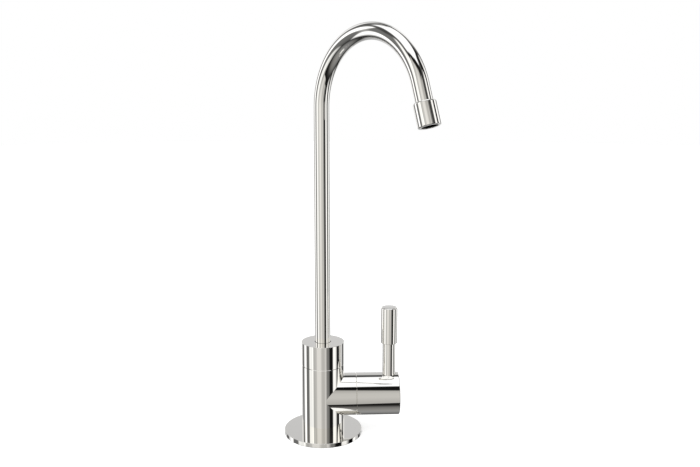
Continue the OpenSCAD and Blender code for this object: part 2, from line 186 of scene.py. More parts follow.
def placed(shape: Shape, matrix: Matrix) -> Shape:
    """Moves a shape by a matrix."""
    bmesh.ops.transform(shape, matrix=matrix, verts=shape.verts)
    return shape


def pin(radius: float, low: float, high: float, steps: int = BORE_STEPS) -> Shape:
    """Makes a plain round bar along Z, for drilling with; sizes in millimetres."""
    return turned((0, low), (radius, low), (radius, high), (0, high), steps=steps)


def combined(shape: Shape, other: Shape, how: Join) -> Shape:
    """Joins two closed shapes, or takes one from the other.

    Args:
        shape: the shape that is kept; it is freed.
        other: the tool; it is freed.
        how: what is done with them.

    Returns:
        The result, merged.
    """
    holders = []
    for part in (shape, other):
        mesh = bpy.data.meshes.new("blank")
        part.to_mesh(mesh)
        part.free()
        holder = bpy.data.objects.new("blank", mesh)
        bpy.context.scene.collection.objects.link(holder)
        holders.append(holder)
    cut = holders[0].modifiers.new("cut", "BOOLEAN")
    cut.operation = how.value
    cut.solver = "EXACT"
    cut.object = holders[1]
    graph = bpy.context.evaluated_depsgraph_get()
    made = bpy.data.meshes.new_from_object(holders[0].evaluated_get(graph))
    result = bmesh.new()
    result.from_mesh(made)
    meshes = [holder.data for holder in holders] + [made]
    for holder in holders:
        bpy.data.objects.remove(holder)
    for mesh in meshes:
        bpy.data.meshes.remove(mesh)
    bmesh.ops.remove_doubles(result, verts=result.verts, dist=MERGE_DISTANCE)
    mark_sharp(result)
    return result


@dataclass(frozen=True)
class RoundBar:
    """A polished round bar with rounded ends, whose true normals a faceted mesh is given."""

    start: Vector
    way: Vector
    radius: float
    length: float
    rounding: float

    def normal_at(self, point: Vector) -> tuple[Vector, float]:
        """Measures a point against the bar.

        Args:
            point: a point near the bar's skin.

        Returns:
            The skin's normal there, and how far off the skin the point lies.
        """
        no_length = 1e-9
        out = point - self.start
        along = out.dot(self.way)
        side = out - along * self.way
        core_radius = self.radius - self.rounding
        reach = side.length
        core_side = side * (min(reach, core_radius) / reach) if reach > 0.0 else side
        core_along = min(max(along, self.rounding), self.length - self.rounding)
        offset = out - core_side - core_along * self.way
        if offset.length < no_length:
            return Vector((0, 0, 0)), -self.rounding
        return offset.normalized(), offset.length - self.rounding


def sharp_bar(start: Vector, way: Vector, radius: float, length: float) -> RoundBar:
    """Makes a bar that ends at sharp edges; radius and length in millimetres."""
    hair = 0.05
    return RoundBar(start - hair * MM * way, way, radius * MM, (length + 2 * hair) * MM, hair * MM)


def polish(mesh: bpy.types.Mesh, bars: Iterable[RoundBar]) -> None:
    """Gives each facet that lies on one of the bars the bar's own normals, so that it mirrors truly.

    Args:
        mesh: the mesh, whose other facets keep their own normals.
        bars: the bars whose skins show on the mesh.
    """
    close = 0.004 * MM
    aligned = 0.995
    normals: list[Vector] = [Vector((0, 0, 0))] * len(mesh.loops)
    for face in mesh.polygons:
        chosen: Optional[RoundBar] = None
        for bar in bars:
            skin = [bar.normal_at(mesh.vertices[index].co) for index in face.vertices]
            middle, _ = bar.normal_at(face.center)
            if all(abs(off) < close for _, off in skin) and middle.dot(face.normal) > aligned:
                chosen = bar
                break
        for loop in face.loop_indices:
            point = mesh.vertices[mesh.loops[loop].vertex_index].co
            normals[loop] = chosen.normal_at(point)[0] if chosen else face.normal.copy()
    mesh.normals_split_custom_set(normals)


def add_piece(
    name: str,
    shape: Shape,
    finish: bpy.types.Material,
    body: Body,
    stands_for: Sequence[str],
    bars: Sequence[RoundBar] = (),
) -> bpy.types.Object:
    """Puts a finished shape in the scene.

    Args:
        name: the piece's name.
        shape: its shape, which is freed.
        finish: its material.
        body: the moving body that it rides on.
        stands_for: the CAD nodes that it replaces.
        bars: round bars whose true normals it takes; without any, its normals are weighted by area.

    Returns:
        The piece.
    """
    mesh = bpy.data.meshes.new(name)
    shape.to_mesh(mesh)
    shape.free()
    mesh.materials.append(finish)
    piece = bpy.data.objects.new(name, mesh)
    bpy.context.scene.collection.objects.link(piece)
    if bars:
        polish(mesh, bars)
    else:
        weights = piece.modifiers.new("flat_faces_stay_flat", "WEIGHTED_NORMAL")
        weights.mode = "FACE_AREA"
        weights.weight = 100
        weights.keep_sharp = True
    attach(piece, body.value)
    if stands_for:
        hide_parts(*stands_for)
    nodes = ", ".join(stands_for) or "none"
    log.info("%s: %d faces, on body %s, for %s", name, len(mesh.polygons), body.value, nodes)
    return piece


# Finishes


class Graph:
    """A material's or the world's node tree, with short ways to add and join nodes."""

    def __init__(self, tree: bpy.types.NodeTree) -> None:
        """Starts from an empty tree."""
        self.tree = tree
        tree.nodes.clear()

    def add(self, kind: str, inputs: Optional[dict] = None, **settings: object) -> bpy.types.Node:
        """Adds a node.

        Args:
            kind: the node's type, without the ShaderNode prefix.
            inputs: values or output sockets by input name or number.
            settings: the node's own properties.

        Returns:
            The node.
        """
        node = self.tree.nodes.new("ShaderNode" + kind)
        for name, value in settings.items():
            setattr(node, name, value)
        for key, value in (inputs or {}).items():
            if isinstance(value, Socket):
                self.tree.links.new(value, node.inputs[key])
            else:
                node.inputs[key].default_value = value
        return node

    def math(self, operation: Op, *values: object) -> Socket:
        """Adds a Math node and returns its result."""
        return self.add("Math", dict(enumerate(values)), operation=operation.value).outputs[0]

    def mix(self, factor: object, low: object, high: object) -> Socket:
        """Mixes two numbers."""
        node = self.add("Mix", {0: factor, 2: low, 3: high}, data_type="FLOAT")
        return node.outputs[0]

    def mix_colour(self, factor: object, low: object, high: object) -> Socket:
        """Mixes two colours."""
        node = self.add("Mix", {0: factor, 6: low, 7: high}, data_type="RGBA")
        return node.outputs[2]

    def rise(self, value: object, low: object, high: object) -> Socket:
        """Goes smoothly from 0 at low to 1 at high."""
        ends = {"Value": value, "From Min": low, "From Max": high}
        return self.add("MapRange", ends, interpolation_type="SMOOTHSTEP").outputs["Result"]

    def spread(self, value: object, low: float, high: float) -> Socket:
        """Maps a noise value between 0.25 and 0.75 to low and high."""
        node = self.add("MapRange", {0: value, 1: 0.25, 2: 0.75, 3: low, 4: high})
        return node.outputs[0]

    def noise(
        self, scale: float, stretch: tuple[float, float, float] = (1.0, 1.0, 1.0), detail: float = 3.0,
    ) -> Socket:
        """Adds noise on object coordinates.

        Args:
            scale: how many features there are per metre.
            stretch: how much denser the features are along each axis.
            detail: how many finer layers it has.

        Returns:
            The noise value.
        """
        place = self.add("TexCoord").outputs["Object"]
        mapped = self.add("Mapping", {"Vector": place, "Scale": stretch}).outputs[0]
        return self.add("TexNoise", {"Vector": mapped, "Scale": scale, "Detail": detail}).outputs[0]

    def ramp(
        self, value: Socket, stops: Sequence[Sequence[float]], tops: Sequence[float],
    ) -> list[Socket]:
        """Reads one to three numbers off one ramp.

        Args:
            value: where on the ramp to read.
            stops: (place, number, ...) in rising order; the places may have any range.
            tops: the numbers that the ramp's full channels stand for.

        Returns:
            The numbers there.
        """
        low, high = stops[0][0], stops[-1][0]
        place = self.add("MapRange", {0: value, 1: low, 2: high}).outputs[0]
        node = self.add("ValToRGB", {0: place})
        elements = node.color_ramp.elements
        while len(elements) > 1:
            elements.remove(elements[-1])
        for index, (stop, *numbers) in enumerate(stops):
            spot = (stop - low) / (high - low)
            element = elements[0] if index == 0 else elements.new(spot)
            element.position = spot
            channels = [number / top for number, top in zip(numbers, tops)]
            element.color = rgba(channels + [0.0] * (3 - len(channels)))
        split = self.add("SeparateColor", {0: node.outputs[0]}).outputs
        return [self.math(Op.MULTIPLY, split[index], top) for index, top in enumerate(tops)]


def rgba(colour: Sequence[float]) -> tuple[float, float, float, float]:
    """Adds a full alpha to a colour."""
    return (colour[0], colour[1], colour[2], 1.0)


def grey(level: float) -> tuple[float, float, float, float]:
    """Makes a grey, or white at 1."""
    return rgba((level,) * 3)


def new_finish(name: str) -> tuple[bpy.types.Material, Graph]:
    """Starts a material.

    Args:
        name: the material's name.

    Returns:
        The material and its empty node tree.
    """
    material = bpy.data.materials.new(name)
    material.use_nodes = True
    return material, Graph(material.node_tree)


def close_finish(graph: Graph, inputs: dict) -> None:
    """Adds the surface shader with its inputs, and the output."""
    shader = graph.add("BsdfPrincipled", inputs)
    graph.add("OutputMaterial", {"Surface": shader.outputs[0]})


@dataclass(frozen=True)
class PolishedNickel:
    """Mirror-polished nickel plate: a warm white metal with the faint ripple and wipes of hand polishing."""

    colour: tuple[float, float, float] = (0.932, 0.921, 0.889)
    thin_colour: tuple[float, float, float] = (0.925, 0.913, 0.878)
    clouds_per_metre: float = 45.0
    wipes_per_metre: float = 260.0
    wipe_stretch: tuple[float, float, float] = (1.0, 1.0, 0.16)
    least_roughness: float = 0.006
    most_roughness: float = 0.022
    ripple_per_metre: float = 110.0
    ripple_height: float = 0.0012 * MM

    def make(self, name: str) -> bpy.types.Material:
        """Builds the material.

        Args:
            name: the material's name.

        Returns:
            The material.
        """
        material, graph = new_finish(name)
        clouds = graph.noise(self.clouds_per_metre, detail=2.0)
        wipes = graph.noise(self.wipes_per_metre, stretch=self.wipe_stretch, detail=5.0)
        ripple = graph.noise(self.ripple_per_metre, detail=0.0)
        bump = graph.add("Bump", {"Strength": 1.0, "Distance": self.ripple_height, "Height": ripple})
        close_finish(graph, {
            "Base Color": graph.mix_colour(clouds, rgba(self.thin_colour), rgba(self.colour)),
            "Metallic": 1.0,
            "Roughness": graph.spread(wipes, self.least_roughness, self.most_roughness),
            "Normal": bump.outputs[0],
        })
        return material


@dataclass(frozen=True)
class TurnedMetal:
    """Bare metal as it comes off the lathe: fine rings round the part, stains and a soft shine."""

    colour: tuple[float, float, float]
    dull_colour: tuple[float, float, float]
    least_roughness: float
    most_roughness: float
    along: Along = Along.Z
    stains_per_metre: float = 160.0
    rings_per_metre: float = 2600.0
    ring_height: float = 0.006 * MM
    ring_strength: float = 0.7
    round_stretch: float = 0.02

    def make(self, name: str) -> bpy.types.Material:
        """Builds the material.

        Args:
            name: the material's name.

        Returns:
            The material.
        """
        material, graph = new_finish(name)
        stain = graph.noise(self.stains_per_metre, detail=4.0)
        around = self.round_stretch
        stretch = (1.0, around, around) if self.along is Along.X else (around, around, 1.0)
        rings = graph.noise(self.rings_per_metre, stretch=stretch, detail=2.0)
        bump = graph.add("Bump", {
            "Strength": self.ring_strength, "Distance": self.ring_height, "Height": rings,
        })
        close_finish(graph, {
            "Base Color": graph.mix_colour(stain, rgba(self.dull_colour), rgba(self.colour)),
            "Metallic": 1.0,
            "Roughness": graph.spread(stain, self.most_roughness, self.least_roughness),
            "Normal": bump.outputs[0],
        })
        return material


@dataclass(frozen=True)
class Moulded:
    """Moulded or pressed stuff, such as rubber, nylon and ceramic: slight mottling and a fine grain."""

    colour: tuple[float, float, float]
    dull_colour: tuple[float, float, float]
    least_roughness: float
    most_roughness: float
    mottles_per_metre: float = 300.0
    grain_per_metre: float = 2400.0
    grain_height: float = 0.02 * MM
    grain_strength: float = 0.5
    subsurface: float = 0.0
    subsurface_reach: float = 0.5 * MM
    specular: float = 0.5

    def make(self, name: str) -> bpy.types.Material:
        """Builds the material.

        Args:
            name: the material's name.

        Returns:
            The material.
        """
        material, graph = new_finish(name)
        mottle = graph.noise(self.mottles_per_metre, detail=4.0)
        grain = graph.noise(self.grain_per_metre, detail=3.0)
        bump = graph.add("Bump", {
            "Strength": self.grain_strength, "Distance": self.grain_height, "Height": grain,
        })
        close_finish(graph, {
            "Base Color": graph.mix_colour(mottle, rgba(self.dull_colour), rgba(self.colour)),
            "Metallic": 0.0,
            "Roughness": graph.spread(mottle, self.least_roughness, self.most_roughness),
            "Subsurface Weight": self.subsurface,
            "Subsurface Scale": self.subsurface_reach,
            "Specular IOR Level": self.specular,
            "Normal": bump.outputs[0],
        })
        return material


BRASS = ((0.78, 0.60, 0.34), (0.66, 0.47, 0.24), 0.20, 0.36)
STEEL = ((0.62, 0.62, 0.61), (0.52, 0.52, 0.52), 0.22, 0.38)
RUBBER = Moulded((0.024, 0.024, 0.025), (0.016, 0.016, 0.017), 0.62, 0.80)
# A darker copy of the rubber, near-black and with little reflection: painted shade for the dark inside of
# the outlet's mouth.
RUBBER_PAINTED_DARK_FOR_SHADE = Moulded((0.006, 0.006, 0.006), (0.003, 0.003, 0.003), 0.85, 0.95, specular=0.08)
NYLON = Moulded((0.83, 0.82, 0.77), (0.77, 0.76, 0.70), 0.36, 0.50, grain_height=0.01 * MM, subsurface=0.08)
CERAMIC = Moulded((0.90, 0.90, 0.88), (0.86, 0.86, 0.84), 0.10, 0.20, grain_height=0.003 * MM)


class Finishes:
    """All the faucet's materials, each built once."""

    def __init__(self) -> None:
        """Builds the materials."""
        self.nickel = PolishedNickel().make("mirror_nickel")
        self.brass_z = TurnedMetal(*BRASS, along=Along.Z).make("lathe_brass_z")
        self.brass_x = TurnedMetal(*BRASS, along=Along.X).make("lathe_brass_x")
        self.steel = TurnedMetal(*STEEL, along=Along.Z).make("satin_stainless")
        self.rubber = RUBBER.make("matt_rubber")
        # The rubber with painted shade, for the outlet's straightener and mouth ring.
        self.rubber_with_painted_shade = RUBBER_PAINTED_DARK_FOR_SHADE.make("matt_rubber_painted_shade")
        self.nylon = NYLON.make("natural_nylon")
        self.ceramic = CERAMIC.make("lapped_ceramic")

    def dress(self, names: Iterable[str], finish: bpy.types.Material) -> None:
        """Gives CAD nodes a material.

        Args:
            names: the nodes to dress.
            finish: the material.
        """
        for name in names:
            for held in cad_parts[name].material_slots:
                held.material = finish
            log.info("%s: CAD solid, dressed in %s", name, finish.name)


# Sub-assemblies


@dataclass
class SubAssembly:
    """The pieces of one moving body, in the faucet's finishes."""

    body: ClassVar[Body]
    finishes: Finishes

    def add_polished(self, name: str, shape: Shape, stands_for: str, bars: Sequence[RoundBar] = ()) -> None:
        """Puts a nickel-plated piece in the scene.

        Args:
            name: the piece's name.
            shape: its shape, which is freed.
            stands_for: the CAD node that it replaces.
            bars: round bars whose true normals it takes.
        """
        add_piece(name, shape, self.finishes.nickel, self.body, [stands_for], bars)


@dataclass
class Base(SubAssembly):
    """Flange, upright body with its side arm, and what fixes the faucet to the deck."""

    body: ClassVar[Body] = Body.BASE
    # Flange
    flange_radius: float = 24.2
    flange_top: float = 2.7
    flange_rounding: float = 0.22
    gasket_inner: float = 15.0
    gasket_outer: float = 21.5
    gasket_depth: float = 1.4
    # Body and neck
    spigot_radius: float = 10.0
    spigot_low: float = 0.7
    spigot_gap: float = 0.05
    body_radius: float = 13.2
    body_rim: float = 44.83
    body_chamfer: float = 0.22
    body_top: float = 44.65
    rim_inner: float = 12.5
    neck_radius: float = 8.0
    neck_top: float = 54.8
    neck_rounding: float = 0.2
    # Arm
    arm_height: float = 24.8
    arm_radius: float = 13.1
    arm_rim: float = 20.41
    arm_chamfer: float = 0.26
    arm_end: float = 20.3
    # Hollows, with drills that reach past them
    overrun: float = 1.0
    chamber_radius: float = 10.6
    chamber_start: float = 11.0
    seat_radius: float = 9.0
    seat_start: float = 5.0
    shank_hole_radius: float = 5.6
    shank_hole_top: float = 14.0
    neck_bore_radius: float = 4.0
    neck_bore_low: float = 41.0
    groove_mouth: float = 9.0
    # Lower face, upper face and floor radius of each groove round the neck
    grooves: Sequence[Sequence[float]] = ((46.6, 48.4, 6.5), (49.3, 51.1, 6.5), (52.1, 53.9, 6.8))
    # Shank
    shank_radius: float = 5.55
    shank_rounding: float = 0.25
    shank_low: float = -52.0
    shank_high: float = 12.5
    core_gap: float = 0.02
    thread_low: float = -51.2
    thread_high: float = -2.0
    thread_lap: float = 0.3
    thread_pitch: float = 1.058
    thread_depth: float = 0.635
    thread_steps: int = 72
    supply_radius: float = 3.25
    supply_stop: float = -40.0
    cone_radius: float = 5.0
    cone_height: float = 2.4
    waterway_radius: float = 2.6
    waterway_overrun: float = 0.5

    def build(self) -> None:
        """Builds the flange, the body and the shank, and dresses the rest."""
        self.add_flange()
        self.add_body()
        self.add_shank()
        finishes = self.finishes
        dress = finishes.dress
        dress(("mounting_nut", "inlet_nut"), finishes.brass_z)
        dress(("cartridge_body", "gland_nut"), finishes.brass_x)
        dress(("clamp_washer", "lock_washer"), finishes.steel)
        dress(("base_gasket", "shank_seal", "deck_washer", "seat_seal", "neck_o_rings"), finishes.rubber)
        dress(("inlet_ferrule", "handle_glide_ring", "swivel_washer"), finishes.nylon)
        dress(("fixed_disc",), finishes.ceramic)

    def add_flange(self) -> None:
        """Builds the thin round flange with its gasket groove."""
        hole = self.spigot_radius + self.spigot_gap
        shape = turned(
            (hole, 0),
            (self.gasket_inner, 0),
            (self.gasket_inner, self.gasket_depth),
            (self.gasket_outer, self.gasket_depth),
            (self.gasket_outer, 0),
            (self.flange_radius, 0, self.flange_rounding),
            (self.flange_radius, self.flange_top, self.flange_rounding),
            (hole, self.flange_top),
            steps=FLANGE_STEPS,
        )
        self.add_polished("flange_polished", shape, "base_flange")

    def upright(self) -> Shape:
        """Builds the upright body with its neck.

        Returns:
            The shape, still solid.
        """
        return turned(
            (0, self.spigot_low),
            (self.spigot_radius, self.spigot_low),
            (self.spigot_radius, self.flange_top),
            (self.body_radius, self.flange_top),
            (self.body_radius, self.body_rim - self.body_chamfer),
            (self.body_radius - self.body_chamfer, self.body_rim),
            (self.rim_inner, self.body_rim),
            (self.rim_inner, self.body_top),
            (self.neck_radius, self.body_top),
            (self.neck_radius, self.neck_top, self.neck_rounding),
            (0, self.neck_top),
        )

    def arm(self) -> Shape:
        """Builds the side arm.

        Returns:
            The shape, still solid.
        """
        return placed(turned(
            (0, 0),
            (self.arm_radius, 0),
            (self.arm_radius, self.arm_rim - self.arm_chamfer),
            (self.arm_radius - self.arm_chamfer, self.arm_rim),
            (self.rim_inner, self.arm_rim),
            (self.rim_inner, self.arm_end),
            (0, self.arm_end),
        ), laid_along_x(self.arm_height))

    def add_body(self) -> None:
        """Builds the body and the arm, which meet in sharp mitres, and makes them hollow."""
        along = laid_along_x(self.arm_height)
        shape = combined(self.upright(), self.arm(), Join.ADD)
        hollows = [
            placed(pin(self.chamber_radius, self.chamber_start, self.arm_end + self.overrun), along),
            placed(pin(self.seat_radius, self.seat_start, self.chamber_start + self.overrun), along),
            pin(self.shank_hole_radius, -self.overrun, self.shank_hole_top),
            pin(self.neck_bore_radius, self.neck_bore_low, self.neck_top + self.overrun),
        ]
        mouth = self.groove_mouth
        for low, high, floor in self.grooves:
            ring = turned((floor, low), (mouth, low), (mouth, high), (floor, high), steps=BORE_STEPS)
            hollows.append(ring)
        for hollow in hollows:
            shape = combined(shape, hollow, Join.CUT)
        bars = (
            sharp_bar(at(), UP, self.body_radius, self.body_rim - self.body_chamfer),
            sharp_bar(at(z=self.arm_height), ALONG_ARM, self.arm_radius, self.arm_rim - self.arm_chamfer),
        )
        self.add_polished("body_polished", shape, "valve_body", bars)

    def add_shank(self) -> None:
        """Builds the shank with its true screw thread and its stepped bore."""
        outer = self.shank_radius - self.core_gap
        root = self.shank_radius - self.thread_depth - self.core_gap
        thread_end = self.thread_high - self.thread_lap
        core = turned(
            (0, self.shank_low),
            (root, self.shank_low, self.shank_rounding),
            (root, thread_end),
            (outer, thread_end),
            (outer, self.shank_high, self.shank_rounding),
            (0, self.shank_high),
            steps=SLIM_STEPS,
        )
        bore = turned(
            (0, self.shank_low - self.waterway_overrun),
            (self.cone_radius, self.shank_low - self.waterway_overrun),
            (self.supply_radius, self.shank_low + self.cone_height),
            (self.supply_radius, self.supply_stop),
            (self.waterway_radius, self.supply_stop),
            (self.waterway_radius, self.shank_high + self.waterway_overrun),
            (0, self.shank_high + self.waterway_overrun),
            steps=BORE_STEPS,
        )
        shape = combined(core, self.thread(), Join.ADD)
        shape = combined(shape, bore, Join.CUT)
        add_piece("shank_threaded", shape, self.finishes.brass_z, self.body, ["threaded_shank"])

    def thread(self) -> Shape:
        """Winds the screw thread round Z.

        Returns:
            One closed shape, cut off flat at both ends.
        """
        shape = bmesh.new()
        pitch = self.thread_pitch * MM
        crest, root = self.shank_radius * MM, (self.shank_radius - self.thread_depth) * MM
        low = self.thread_low * MM - pitch
        # Shares of the pitch: a flat crest, and the flanks on both sides of a flat root
        flat, flank = 1 / 8, 5 / 16
        profile = ((crest, 0.0), (crest, flat), (root, flat + flank), (root, 1 - flank), (crest, 1.0))
        points = [shape.verts.new((radius, 0.0, low + share * pitch)) for radius, share in profile]
        for pair in zip(points, points[1:]):
            shape.edges.new(pair)
        bmesh.ops.spin(
            shape, geom=shape.verts[:] + shape.edges[:], cent=(0, 0, 0), axis=(0, 0, 1),
            dvec=(0, 0, pitch / self.thread_steps), angle=math.tau, steps=self.thread_steps,
            use_merge=False, use_duplicate=False,
        )
        turn = shape.verts[:] + shape.edges[:] + shape.faces[:]
        # One turn more at each end, for the flat cuts
        turns = math.ceil((self.thread_high - self.thread_low) / self.thread_pitch) + 2
        for index in range(1, turns):
            copied = bmesh.ops.duplicate(shape, geom=turn)["geom"]
            moved = [item for item in copied if isinstance(item, bmesh.types.BMVert)]
            bmesh.ops.translate(shape, verts=moved, vec=(0, 0, index * pitch))
        bmesh.ops.remove_doubles(shape, verts=shape.verts, dist=10 * MERGE_DISTANCE)
        for height, way in ((self.thread_low, -1.0), (self.thread_high, 1.0)):
            bmesh.ops.bisect_plane(
                shape, geom=shape.verts[:] + shape.edges[:] + shape.faces[:], plane_co=(0, 0, height * MM),
                plane_no=(0, 0, way), clear_outer=True, clear_inner=False,
            )
        rims = [edge for edge in shape.edges if len(edge.link_faces) == 1]
        bmesh.ops.holes_fill(shape, edges=rims, sides=0)
        return finished(shape)


@dataclass
class Handle(SubAssembly):
    """Hub at the arm's end, with the lever that stands on it."""

    body: ClassVar[Body] = Body.HANDLE
    # Hub
    axis_height: float = 24.8
    hub_radius: float = 13.1
    hub_start: float = 20.6
    hub_rim: float = 20.50
    rim_inner: float = 12.5
    start_chamfer: float = 0.26
    hub_end: float = 47.26
    end_rounding: float = 0.5
    wall_radius: float = 11.3
    boss_start: float = 27.2
    socket_radius: float = 4.1
    socket_end: float = 37.0
    socket_end_radius: float = 3.6
    socket_cone: float = 0.6
    screw_x: float = 31.5
    screw_hole_radius: float = 2.05
    screw_hole_low: float = 10.0
    screw_hole_top: float = 21.5
    # Lever
    lever_x: float = 41.0
    lever_gap: float = 0.05
    lever_hole_top: float = 42.0
    stem_radius: float = 4.05
    stem_foot: float = 35.2
    stem_rounding: float = 0.25
    stud_radius: float = 2.9
    stud_foot: float = 27.8
    stud_above: float = 10.0
    stud_rounding: float = 0.5
    stud_hole_radius: float = 3.05
    stud_hole_low: float = 27.4
    stud_hole_top: float = 36.0
    grip_radius: float = 5.1
    grip_low: float = 57.7
    grip_gap: float = 0.03
    grip_top: float = 80.6
    grip_rounding: float = 1.0
    grip_foot_rounding: float = 0.3
    grip_hole_depth: float = 10.6

    def build(self) -> None:
        """Builds the hub, the stem and the grip, and dresses the rest."""
        self.add_hub()
        self.add_stem()
        self.add_grip()
        finishes = self.finishes
        dress = finishes.dress
        dress(("cartridge_stem",), finishes.brass_x)
        dress(("moving_disc",), finishes.ceramic)
        dress(("thrust_washer",), finishes.nylon)
        dress(("stem_o_rings",), finishes.rubber)
        dress(("stem_clip", "handle_set_screw"), finishes.steel)

    def add_hub(self) -> None:
        """Builds the hub with its socket, the lever's hole and the set screw's hole."""
        chamfer_end = self.hub_rim + self.start_chamfer
        shape = placed(turned(
            (0, self.socket_end),
            (self.socket_end_radius, self.socket_end),
            (self.socket_radius, self.socket_end - self.socket_cone),
            (self.socket_radius, self.boss_start),
            (self.wall_radius, self.boss_start),
            (self.wall_radius, self.hub_start),
            (self.rim_inner, self.hub_start),
            (self.rim_inner, self.hub_rim),
            (self.hub_radius - self.start_chamfer, self.hub_rim),
            (self.hub_radius, chamfer_end),
            (self.hub_radius, self.hub_end, self.end_rounding),
            (0, self.hub_end),
        ), laid_along_x(self.axis_height))
        gap = self.lever_gap
        lever_hole = pin(self.stem_radius + gap, self.stem_foot - gap, self.lever_hole_top)
        stud_hole = pin(self.stud_hole_radius, self.stud_hole_low, self.stud_hole_top)
        screw_hole = pin(self.screw_hole_radius, self.screw_hole_low, self.screw_hole_top)
        for hole, x in ((lever_hole, self.lever_x), (stud_hole, self.lever_x), (screw_hole, self.screw_x)):
            shape = combined(shape, placed(hole, Matrix.Translation(at(x=x))), Join.CUT)
        start = chamfer_end - self.end_rounding
        bar = RoundBar(
            at(x=start, z=self.axis_height), ALONG_ARM, self.hub_radius * MM, (self.hub_end - start) * MM,
            self.end_rounding * MM,
        )
        self.add_polished("handle_hub_polished", shape, "handle_hub", [bar])

    def over_lever(self) -> Matrix:
        """Gives the move from the upright axis to the lever's."""
        return Matrix.Translation(at(x=self.lever_x))

    def add_stem(self) -> None:
        """Builds the slim stem, with a stud at each end."""
        stud_top = self.grip_low + self.stud_above
        stem = turned(
            (0, self.stud_foot),
            (self.stud_radius, self.stud_foot, self.stud_rounding),
            (self.stud_radius, self.stem_foot),
            (self.stem_radius, self.stem_foot),
            (self.stem_radius, self.grip_low, self.stem_rounding),
            (self.stud_radius, self.grip_low),
            (self.stud_radius, stud_top, self.stud_rounding),
            (0, stud_top),
            steps=SLIM_STEPS,
        )
        stem = placed(stem, self.over_lever())
        self.add_polished("lever_stem_polished", stem, "lever_stem")

    def add_grip(self) -> None:
        """Builds the thicker grip, with the stud's hole in it."""
        low = self.grip_low + self.grip_gap
        hole_top = self.grip_low + self.grip_hole_depth
        grip = turned(
            (self.stud_hole_radius, low),
            (self.grip_radius, low, self.grip_foot_rounding),
            (self.grip_radius, self.grip_top, self.grip_rounding),
            (0, self.grip_top),
            (0, hole_top),
            (self.stud_hole_radius, hole_top),
            steps=SLIM_STEPS,
        )
        grip = placed(grip, self.over_lever())
        self.add_polished("lever_grip_polished", grip, "lever_grip")


